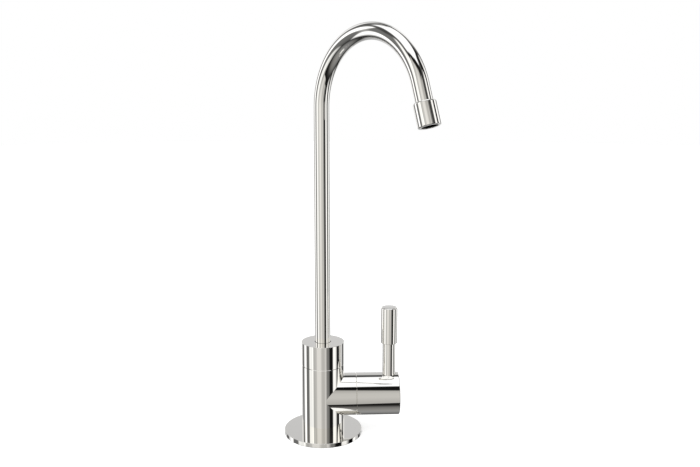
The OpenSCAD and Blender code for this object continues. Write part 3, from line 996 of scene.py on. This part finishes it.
@dataclass
class Spout(SubAssembly):
    """Hub over the joint, gooseneck tube and the sleeve at the outlet."""

    body: ClassVar[Body] = Body.SPOUT
    azimuth: float = -51.8
    # Hub
    hub_radius: float = 13.2
    hub_low: float = 44.95
    hub_rim: float = 44.86
    rim_inner: float = 12.5
    hub_chamfer: float = 0.22
    hub_top: float = 59.2
    hub_rounding: float = 0.2
    cavity_radius: float = 8.05
    cavity_top: float = 55.2
    socket_gap: float = 0.05
    socket_depth: float = 3.0
    foot_gap: float = 0.28
    foot_gap_depth: float = 0.9
    foot_seal_recess: float = 0.25
    hair: float = 0.01
    screw_height: float = 53.0
    screw_hole_radius: float = 1.55
    screw_hole_start: float = 7.0
    screw_hole_end: float = 16.0
    # Tube
    tube_radius: float = 4.7625
    bore_radius: float = 3.7625
    tube_foot: float = 56.23
    riser_top: float = 202.0
    bend_radius: float = 41.0
    bend_angle: float = 161.8
    bend_steps: int = 120
    tube_end: float = 15.55
    # Sleeve, measured from the bend's end
    sleeve_radius: float = 6.2
    sleeve_start: float = 9.7
    tip_length: float = 22.6
    shoulder_rounding: float = 0.8
    lip_rounding: float = 0.6
    mouth_radius: float = 4.4
    mouth_depth: float = 2.0
    mouth_rounding: float = 0.15
    mouth_ring_wall: float = 0.39
    mouth_ring_recess: float = 0.12
    mouth_ring_gap: float = 0.02
    mouth_ring_roundings: tuple[float, float] = (0.1, 0.2)

    def build(self) -> None:
        """Builds the hub, the tube and the sleeve, and dresses the rest."""
        self.add_hub()
        self.add_foot_seal()
        self.add_tube()
        self.add_sleeve()
        self.add_mouth_ring()
        self.finishes.dress(("spout_set_screw",), self.finishes.steel)
        self.finishes.dress(("outlet_gasket",), self.finishes.rubber)
        # The flow straightener inside the sleeve wears the rubber painted near-black, as painted shade.
        self.finishes.dress(("flow_straightener",), self.finishes.rubber_with_painted_shade)

    def turn(self, more: float = 0.0) -> Matrix:
        """Gives the turn of the parked spout about the body's axis, with more degrees added."""
        return Matrix.Rotation(math.radians(self.azimuth + more), 4, "Z")

    def add_hub(self) -> None:
        """Builds the hub with its cavity, the tube's socket and the set screw's hole."""
        socket = self.tube_radius + self.socket_gap
        mouth = self.tube_radius + self.foot_gap
        chamfer_top = self.hub_rim + self.hub_chamfer
        shape = turned(
            (self.cavity_radius, self.hub_low),
            (self.rim_inner, self.hub_low),
            (self.rim_inner, self.hub_rim),
            (self.hub_radius - self.hub_chamfer, self.hub_rim),
            (self.hub_radius, chamfer_top),
            (self.hub_radius, self.hub_top, self.hub_rounding),
            (mouth, self.hub_top),
            (mouth, self.hub_top - self.foot_gap_depth),
            (socket, self.hub_top - self.foot_gap_depth),
            (socket, self.hub_top - self.socket_depth),
            (self.bore_radius, self.hub_top - self.socket_depth),
            (self.bore_radius, self.cavity_top),
            (self.cavity_radius, self.cavity_top),
        )
        hole = pin(self.screw_hole_radius, self.screw_hole_start, self.screw_hole_end, SCREW_HOLE_STEPS)
        to_the_back = self.turn(180) @ laid_along_x(self.screw_height)
        shape = combined(shape, placed(hole, to_the_back), Join.CUT)
        start = chamfer_top - self.hub_rounding
        bar = RoundBar(
            at(z=start), UP, self.hub_radius * MM, (self.hub_top - start) * MM, self.hub_rounding * MM,
        )
        self.add_polished("spout_hub_polished", shape, "spout_hub", [bar])

    def add_foot_seal(self) -> None:
        """Builds the thin seal that fills the gap round the tube's foot."""
        inner = self.tube_radius + self.hair
        outer = self.tube_radius + self.foot_gap - self.hair
        low = self.hub_top - self.foot_gap_depth + self.hair
        high = self.hub_top - self.foot_seal_recess
        seal = turned((inner, low), (outer, low), (outer, high), (inner, high), steps=BORE_STEPS)
        add_piece("tube_foot_seal", seal, self.finishes.rubber, self.body, [])

    def add_tube(self) -> None:
        """Sweeps the tube's outer and inner skins up the riser, round the bend and down to the outlet."""
        shape = bmesh.new()
        foot = Matrix.Translation(at(z=self.tube_foot))
        for radius in (self.tube_radius, self.bore_radius):
            bmesh.ops.create_circle(
                shape, cap_ends=False, segments=ROUND_STEPS // 2, radius=radius * MM, matrix=foot,
            )
        first = shape.edges[:]
        ends = self.extruded(shape, first, Vector((0, 0, (self.riser_top - self.tube_foot) * MM)))
        angle = math.radians(self.bend_angle)
        spun = bmesh.ops.spin(
            shape, geom=ends, cent=at(x=self.bend_radius, z=self.riser_top), axis=(0, 1, 0),
            dvec=(0, 0, 0), angle=angle, steps=self.bend_steps, use_merge=False, use_duplicate=False,
        )
        ends = [item for item in spun["geom_last"] if isinstance(item, bmesh.types.BMEdge)]
        way = Vector((math.sin(angle), 0, math.cos(angle)))
        ends = self.extruded(shape, ends, way * self.tube_end * MM)
        bmesh.ops.bridge_loops(shape, edges=first)
        bmesh.ops.bridge_loops(shape, edges=ends)
        shape = finished(placed(shape, self.turn()))
        self.add_polished("spout_tube_polished", shape, "spout_tube")

    def extruded(
        self, shape: Shape, edges: Sequence[bmesh.types.BMEdge], way: Vector,
    ) -> list[bmesh.types.BMEdge]:
        """Extrudes edges.

        Args:
            shape: the shape that they belong to.
            edges: the edges to extrude.
            way: how far and in which direction.

        Returns:
            The new edges at the far end.
        """
        made = bmesh.ops.extrude_edge_only(shape, edges=edges)["geom"]
        points = [item for item in made if isinstance(item, bmesh.types.BMVert)]
        bmesh.ops.translate(shape, verts=points, vec=way)
        far = set(points)
        return [
            item for item in made
            if isinstance(item, bmesh.types.BMEdge) and item.verts[0] in far and item.verts[1] in far
        ]

    def at_bend_end(self) -> Matrix:
        """Gives the place of the bend's end.

        Returns:
            A move that puts a piece turned about Z there, with +Z along the flow.
        """
        angle = math.radians(self.bend_angle)
        out = self.bend_radius * (1 - math.cos(angle))
        up = self.riser_top + self.bend_radius * math.sin(angle)
        return self.turn() @ Matrix.Translation(Vector((out, 0, up)) * MM) @ Matrix.Rotation(angle, 4, "Y")

    def add_sleeve(self) -> None:
        """Builds the sleeve with its soft shoulder and the lip round the mouth."""
        socket = self.tube_radius + self.socket_gap
        inner = self.tip_length - self.mouth_depth
        shape = placed(turned(
            (socket, self.sleeve_start),
            (self.sleeve_radius, self.sleeve_start, self.shoulder_rounding),
            (self.sleeve_radius, self.tip_length, self.lip_rounding),
            (self.mouth_radius, self.tip_length, self.mouth_rounding),
            (self.mouth_radius, inner),
            (socket, inner),
        ), self.at_bend_end())
        self.add_polished("outlet_sleeve_polished", shape, "outlet_sleeve")

    def add_mouth_ring(self) -> None:
        """Builds the ring that lines the mouth, near-black in the rubber with painted shade for the dark
        inside of the mouth.
        """
        outer = self.mouth_radius - self.hair
        inner = outer - self.mouth_ring_wall
        low = self.tip_length - self.mouth_depth + self.mouth_ring_gap
        high = self.tip_length - self.mouth_ring_recess
        outer_rounding, inner_rounding = self.mouth_ring_roundings
        ring = placed(turned(
            (inner, low),
            (outer, low),
            (outer, high, outer_rounding),
            (inner, high, inner_rounding),
            steps=BORE_STEPS,
        ), self.at_bend_end())
        add_piece("outlet_mouth_ring", ring, self.finishes.rubber_with_painted_shade, self.body, [])


# Studio


@dataclass(frozen=True)
class Panel:
    """A stretch of the studio's walls, seen from the faucet.

    Angles are in degrees round the room: 0 is toward the viewer, + is to the right. Between two panels the
    level changes evenly.
    """

    name: str
    start: float
    end: float
    level: float


LEFT_HALF = (
    Panel("back wall, left", -180, -168, 0.75),
    Panel("back softbox, left", -155.5, -145, 1.26),
    Panel("dark stand", -134, -130, 0.03),
    Panel("left softbox", -109.5, -102.5, 1.50),
    Panel("left flag", -99.5, -82, 0.17),
    Panel("front left softbox", -76, -70, 1.10),
    Panel("its frame", -68, -61.5, 1.04),
    Panel("its right part", -58, -56.5, 1.35),
    Panel("doorway", -52, -47, 0.54),
    Panel("door", -41.5, -36, 0.64),
    Panel("front wall", -32, -14.5, 0.90),
    Panel("front wall, middle", -4.5, 0, 0.59),
)
RIGHT_HALF = (
    Panel("front wall, middle", 0, 8, 0.59),
    Panel("white post", 11, 13.5, 0.78),
    Panel("grey flag", 22, 31, 0.23),
    Panel("black flag", 36.5, 53, 0.01),
    Panel("front right softbox", 56.5, 69.5, 1.19),
    Panel("right flag", 82, 94.5, 0.0),
    Panel("right softbox", 101.5, 103.5, 1.44),
    Panel("side wall", 113, 125.5, 0.73),
    Panel("black pole", 127, 136, 0.0),
    Panel("back softbox, right", 143, 166, 1.19),
    Panel("back wall, right", 166, 180, 0.75),
)


@dataclass(frozen=True)
class Crown:
    """The dark gap between wall and ceiling, at one angle round the room.

    Heights are over the faucet, with the ceiling's own height as 1.
    """

    angle: float
    wall_top: float
    ceiling_edge: float
    level: float


CROWNS = (
    Crown(-180, 0.48, 0.95, 0.03),
    Crown(-160, 0.63, 1.29, 0.32),
    Crown(-140, 0.49, 1.21, 0.06),
    Crown(-120, 0.37, 0.94, 0.17),
    Crown(-105, 0.54, 0.97, 0.09),
    Crown(-90, 0.35, 0.93, 0.06),
    Crown(-75, 0.58, 0.98, 0.08),
    Crown(-60, 0.51, 1.08, 0.16),
    Crown(-50, 0.61, 1.01, 0.02),
    Crown(-40, 0.91, 1.17, 0.02),
    Crown(-30, 0.73, 1.14, 0.0),
    Crown(-20, 0.70, 1.13, 0.0),
    Crown(-10, 0.63, 1.08, 0.02),
    Crown(0, 0.65, 1.11, 0.0),
    Crown(10, 0.41, 1.14, 0.01),
    Crown(20, 0.64, 1.08, 0.02),
    Crown(35, 0.43, 1.09, 0.0),
    Crown(50, 0.45, 1.34, 0.16),
    Crown(65, 0.64, 1.24, 0.0),
    Crown(80, 0.35, 1.15, 0.02),
    Crown(95, 0.59, 1.22, 0.03),
    Crown(110, 0.67, 1.34, 0.0),
    Crown(130, 0.53, 1.60, 0.18),
    Crown(155, 0.66, 1.07, 0.06),
    Crown(180, 0.48, 0.95, 0.03),
)


@dataclass(frozen=True)
class RoomWall:
    """One of the four walls of the studio room; lengths have the ceiling's height as 1.

    The shades are the wall's brightness at SHADE_HEIGHTS, with 1 at the faucet's own height.
    """

    name: str
    away: tuple[float, float]
    distance: float
    foot_blur: float
    top_blur: float
    ceiling_blur: float
    shades: tuple[float, float, float, float, float]


SHADE_HEIGHTS = (-0.5, -0.25, 0.0, 0.25, 0.5)
ROOM_WALLS = (
    RoomWall("front", (0, -1), 0.74, 0.04, 0.16, 0.24, (0.78, 0.87, 1.0, 0.97, 0.77)),
    RoomWall("right", (1, 0), 0.63, 0.23, 0.08, 0.17, (0.54, 0.93, 1.0, 1.06, 0.84)),
    RoomWall("back", (0, 1), 0.54, 0.21, 0.15, 0.39, (0.41, 0.55, 1.0, 0.79, 0.78)),
    RoomWall("left", (-1, 0), 0.69, 0.42, 0.17, 0.31, (0.73, 0.95, 1.0, 1.02, 1.04)),
)

# Where the wall meets the floor: angle round the room, height under the faucet
FOOTINGS = (
    (-180, 0.52), (-132, 0.52), (-124, 0.67), (-47, 0.67), (-38, 0.57), (-4, 0.60), (2.5, 0.61),
    (7, 0.52), (12, 0.50), (36, 0.56), (44, 0.64), (127, 0.64), (134, 0.52), (180, 0.52),
)

# The walls' paint: angle round the room, green and blue against red
PAINT = (
    (-180, 1.0, 1.01), (-105, 1.0, 1.01), (-88, 1.0, 0.99), (-62, 1.0, 0.99), (-45, 0.99, 0.96),
    (-25, 0.98, 0.95), (-5, 0.98, 0.94), (5, 0.98, 0.94), (15, 0.98, 0.95), (38, 0.99, 0.96),
    (62, 0.99, 0.98), (92, 1.0, 0.99), (115, 1.0, 1.01), (180, 1.0, 1.01),
)

# The floor: degrees over the horizon, brightness
FLOOR_LEVELS = ((-90, 0.32), (-73, 0.25), (-62, 0.19), (-55, 0.10), (-50, 0.035), (-44, 0.01))


class Room:
    """The studio room by direction, as metal and glass see it.

    The four largest numbers are what full channels of its ramps stand for.
    """

    brightest_panel: ClassVar[float] = 1.6
    brightest_shade: ClassVar[float] = 1.1
    strongest_paint: ClassVar[float] = 1.1
    highest_edge: ClassVar[float] = 1.6
    least_reach: ClassVar[float] = 1e-6

    def __init__(self, graph: Graph, parts: Sequence[Socket]) -> None:
        """Finds the wall that is in a direction, and how high on it the direction meets it.

        Args:
            graph: the world's node tree.
            parts: the x, y and z of the direction.
        """
        self.graph = graph
        to_degrees = math.degrees(1.0)
        toward = graph.math(Op.MULTIPLY, parts[1], -1.0)
        self.around = graph.math(Op.MULTIPLY, graph.math(Op.ARCTAN2, parts[0], toward), to_degrees)
        self.elevation = graph.math(Op.MULTIPLY, graph.math(Op.ARCSINE, parts[2]), to_degrees)
        reaches = []
        for wall in ROOM_WALLS:
            share = graph.math(Op.MULTIPLY, parts[0], wall.away[0] / wall.distance)
            reaches.append(graph.math(Op.MULTIPLY_ADD, parts[1], wall.away[1] / wall.distance, share))
        nearest = reaches[0]
        for reach in reaches[1:]:
            nearest = graph.math(Op.LARGEST, nearest, reach)
        edge = graph.math(Op.SUBTRACT, nearest, self.least_reach)
        self.faces = [graph.math(Op.GREATER, reach, edge) for reach in reaches]
        self.up = graph.math(Op.DIVIDE, parts[2], graph.math(Op.LARGEST, nearest, self.least_reach))

    def of_wall(self, values: Sequence[object]) -> object:
        """Picks the value of the wall that is in this direction.

        Args:
            values: a number or a socket for each of the four walls.

        Returns:
            The value.
        """
        total: object = 0.0
        for face, value in zip(self.faces, values):
            total = self.graph.math(Op.MULTIPLY_ADD, face, value, total)
        return total

    def step(self, middle: object, blurs: Sequence[float]) -> Socket:
        """Goes from 0 under a height to 1 over it.

        Args:
            middle: the height.
            blurs: how far the change is spread out, on each of the four walls.

        Returns:
            The number from 0 to 1.
        """
        graph = self.graph
        half = graph.math(Op.MULTIPLY, self.of_wall(blurs), 0.5)
        low, high = graph.math(Op.SUBTRACT, middle, half), graph.math(Op.ADD, middle, half)
        return graph.rise(self.up, low, high)

    def panels(self) -> Socket:
        """Gives how bright the panels are all round the room.

        Returns:
            The level in this direction.
        """
        halves = []
        for half in (LEFT_HALF, RIGHT_HALF):
            stops = [(angle, panel.level) for panel in half for angle in (panel.start, panel.end)]
            halves += self.graph.ramp(self.around, stops, (self.brightest_panel,))
            for panel in half:
                log.info("studio: %s from %g to %g degrees", panel.name, panel.start, panel.end)
        right = self.graph.math(Op.GREATER, self.around, 0.0)
        return self.graph.mix(right, halves[0], halves[1])

    def walls(self) -> Socket:
        """Gives how bright the walls are, by angle and height.

        Returns:
            The level in this direction.
        """
        shades = []
        for wall in ROOM_WALLS:
            stops = list(zip(SHADE_HEIGHTS, wall.shades))
            shades += self.graph.ramp(self.up, stops, (self.brightest_shade,))
            log.info("studio: %s wall, %.2f of the ceiling's height away", wall.name, wall.distance)
        return self.graph.math(Op.MULTIPLY, self.panels(), self.of_wall(shades))

    def colour(self, ceiling: Sequence[float]) -> Socket:
        """Stacks the room from the floor up.

        Args:
            ceiling: the ceiling's colour.

        Returns:
            The room's colour in this direction.
        """
        graph = self.graph
        lit = self.walls()
        ground = graph.ramp(self.elevation, FLOOR_LEVELS, (1.0,))[0]
        depth = graph.ramp(self.around, FOOTINGS, (1.0,))[0]
        footing = graph.math(Op.MULTIPLY, depth, -1.0)
        crowns = [(crown.angle, crown.wall_top, crown.ceiling_edge, crown.level) for crown in CROWNS]
        tops = (self.highest_edge, self.highest_edge, 1.0)
        wall_top, ceiling_edge, gap = graph.ramp(self.around, crowns, tops)
        level = graph.mix(self.step(footing, [wall.foot_blur for wall in ROOM_WALLS]), ground, lit)
        level = graph.mix(self.step(wall_top, [wall.top_blur for wall in ROOM_WALLS]), level, gap)
        above = self.step(ceiling_edge, [wall.ceiling_blur for wall in ROOM_WALLS])
        green, blue = graph.ramp(self.around, PAINT, (self.strongest_paint,) * 2)
        paint = graph.add("CombineColor", {0: 1.0, 1: green, 2: blue}).outputs[0]
        painted = graph.add("VectorMath", {0: paint, "Scale": level}, operation="SCALE").outputs[0]
        return graph.mix_colour(above, painted, rgba(ceiling))


@dataclass(frozen=True)
class Lamp:
    """A soft square lamp that points at the faucet; metal doesn't mirror it."""

    name: str
    place: tuple[float, float, float]
    size: float
    power: float
    aim: tuple[float, float, float] = (0.0, 0.0, 0.1)

    def build(self) -> None:
        """Adds the lamp; its place and side are in metres, its power in watts."""
        data = bpy.data.lights.new(self.name, "AREA")
        data.shape = "SQUARE"
        data.size = self.size
        data.energy = self.power
        lamp = bpy.data.objects.new(self.name, data)
        bpy.context.scene.collection.objects.link(lamp)
        facing = (Vector(self.aim) - Vector(self.place)).to_track_quat("-Z", "Y").to_matrix().to_4x4()
        lamp.matrix_world = Matrix.Translation(self.place) @ facing
        lamp.visible_glossy = False
        lamp.visible_camera = False
        log.info("%s: %.0f W, %.1f m", self.name, self.power, self.size)


LAMPS = (
    Lamp("key_light", (-0.6, -0.9, 2.0), 2.6, 12.0),
    Lamp("fill_light", (1.4, -0.4, 1.8), 2.2, 8.0),
)


@dataclass
class Studio:
    """Plain floor, soft light, and the room that polished metal mirrors."""

    backdrop: float = 1.0
    day: float = 0.80
    ceiling: tuple[float, float, float] = (1.16, 1.17, 1.20)
    floor_radius: float = 3.0
    floor_gap: float = 0.05 * MM
    floor_steps: int = 96
    floor_level: float = 0.80
    floor_mottle: float = 0.01
    floor_mottles_per_metre: float = 6.0
    floor_lift: float = 0.55

    def build(self) -> None:
        """Builds the world, the floor and the lamps."""
        self.add_world()
        self.add_floor()
        for lamp in LAMPS:
            lamp.build()

    def add_world(self) -> None:
        """Builds the world: white to the camera, plain light for the rest, and the room for mirrors."""
        world = bpy.data.worlds.new("studio")
        bpy.context.scene.world = world
        world.use_nodes = True
        world.cycles.sampling_method = "NONE"
        graph = Graph(world.node_tree)
        way = graph.add("TexCoord").outputs["Generated"]
        room = Room(graph, graph.add("SeparateXYZ", {0: way}).outputs).colour(self.ceiling)
        rays = graph.add("LightPath").outputs
        mirrored = graph.math(Op.LARGEST, rays["Is Glossy Ray"], rays["Is Transmission Ray"])
        light = graph.mix_colour(mirrored, grey(self.day), room)
        seen = graph.mix_colour(rays["Is Camera Ray"], light, grey(self.backdrop))
        background = graph.add("Background", {"Color": seen, "Strength": 1.0})
        graph.add("OutputWorld", {"Surface": background.outputs[0]})

    def add_floor(self) -> None:
        """Builds the round floor just under the flange, white to the camera but for the object's shadow."""
        shape = bmesh.new()
        bmesh.ops.create_circle(
            shape, cap_ends=True, segments=self.floor_steps, radius=self.floor_radius,
            matrix=Matrix.Translation((0, 0, -self.floor_gap)),
        )
        mesh = bpy.data.meshes.new("floor")
        shape.to_mesh(mesh)
        shape.free()
        floor = bpy.data.objects.new("floor", mesh)
        bpy.context.scene.collection.objects.link(floor)
        material, graph = new_finish("pale_floor")
        mottle = graph.noise(self.floor_mottles_per_metre, detail=4.0)
        dull = grey(self.floor_level - self.floor_mottle)
        matt = graph.add("BsdfDiffuse", {
            "Color": graph.mix_colour(mottle, dull, grey(self.floor_level)),
            "Roughness": 0.5,
        })
        to_camera = graph.add("LightPath").outputs["Is Camera Ray"]
        lift = graph.add("Emission", {
            "Color": grey(self.backdrop), "Strength": graph.math(Op.MULTIPLY, to_camera, self.floor_lift),
        })
        both = graph.add("AddShader", {0: matt.outputs[0], 1: lift.outputs[0]})
        graph.add("OutputMaterial", {"Surface": both.outputs[0]})
        mesh.materials.append(material)
        floor.visible_glossy = False
        log.info("floor: round, %.1f m across", 2 * self.floor_radius)


@dataclass(frozen=True)
class Viewpoint:
    """The photograph's own view, solved from the measured outlines; in millimetres, but near in metres."""

    place: tuple[float, float, float] = (-5.18, -463.59, 210.10)
    yaw: float = 2.708
    pitch: float = 10.195
    roll: float = 0.045
    lens: float = 40.19
    sensor: float = 36.0
    near: float = 0.01

    def build(self) -> None:
        """Adds the camera."""
        data = bpy.data.cameras.new("camera")
        data.sensor_fit = "HORIZONTAL"
        data.sensor_width = self.sensor
        data.lens = self.lens
        data.clip_start = self.near
        camera = bpy.data.objects.new("camera", data)
        bpy.context.scene.collection.objects.link(camera)
        camera.matrix_world = (
            Matrix.Translation(Vector(self.place) * MM)
            @ Matrix.Rotation(math.radians(-self.yaw), 4, "Z")
            @ Matrix.Rotation(math.radians(90 - self.pitch), 4, "X")
            @ Matrix.Rotation(math.radians(self.roll), 4, "Z")
        )
        bpy.context.scene.camera = camera
        log.info("camera: %.2f mm lens", self.lens)


def main() -> None:
    """Builds the scene: camera, studio, finishes and the three moving bodies."""
    logging.basicConfig(level=logging.INFO, format="%(name)s: %(message)s")
    bpy.context.scene.view_settings.view_transform = "Standard"
    Viewpoint().build()
    Studio().build()
    finishes = Finishes()
    for part in (Base(finishes), Handle(finishes), Spout(finishes)):
        part.build()


if __name__ == "__main__":
    main()
